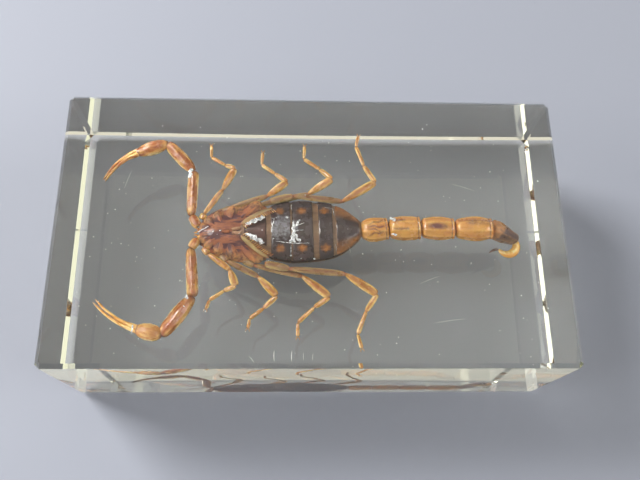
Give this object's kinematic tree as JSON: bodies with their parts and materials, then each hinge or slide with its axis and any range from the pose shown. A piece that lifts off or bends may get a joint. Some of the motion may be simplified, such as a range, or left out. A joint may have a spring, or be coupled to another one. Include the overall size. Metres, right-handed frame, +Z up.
{
  "type": "scorpion in resin block",
  "caption": "Rectangular clear resin block with polished faces and a dried amber scorpion cast belly up inside it, as a desk curio or paperweight.",
  "frame": {"origin": "middle of the flat underside, on the surface that the block rests on", "axes": "+X along the block's length, towards the scorpion's tail; +Y across its width; +Z up"},
  "size_m": [0.073, 0.041, 0.022],
  "materials": {
    "clear_resin": "polished, faintly yellow",
    "amber_cuticle": "glossy, horn-like",
    "dark_cuticle": "glossy",
    "pale_membrane": "satin, soft",
    "trapped_air": "bright, silvery"
  },
  "bodies": {
    "root": {"resin_block": "clear_resin"}
  },
  "joints": []
}
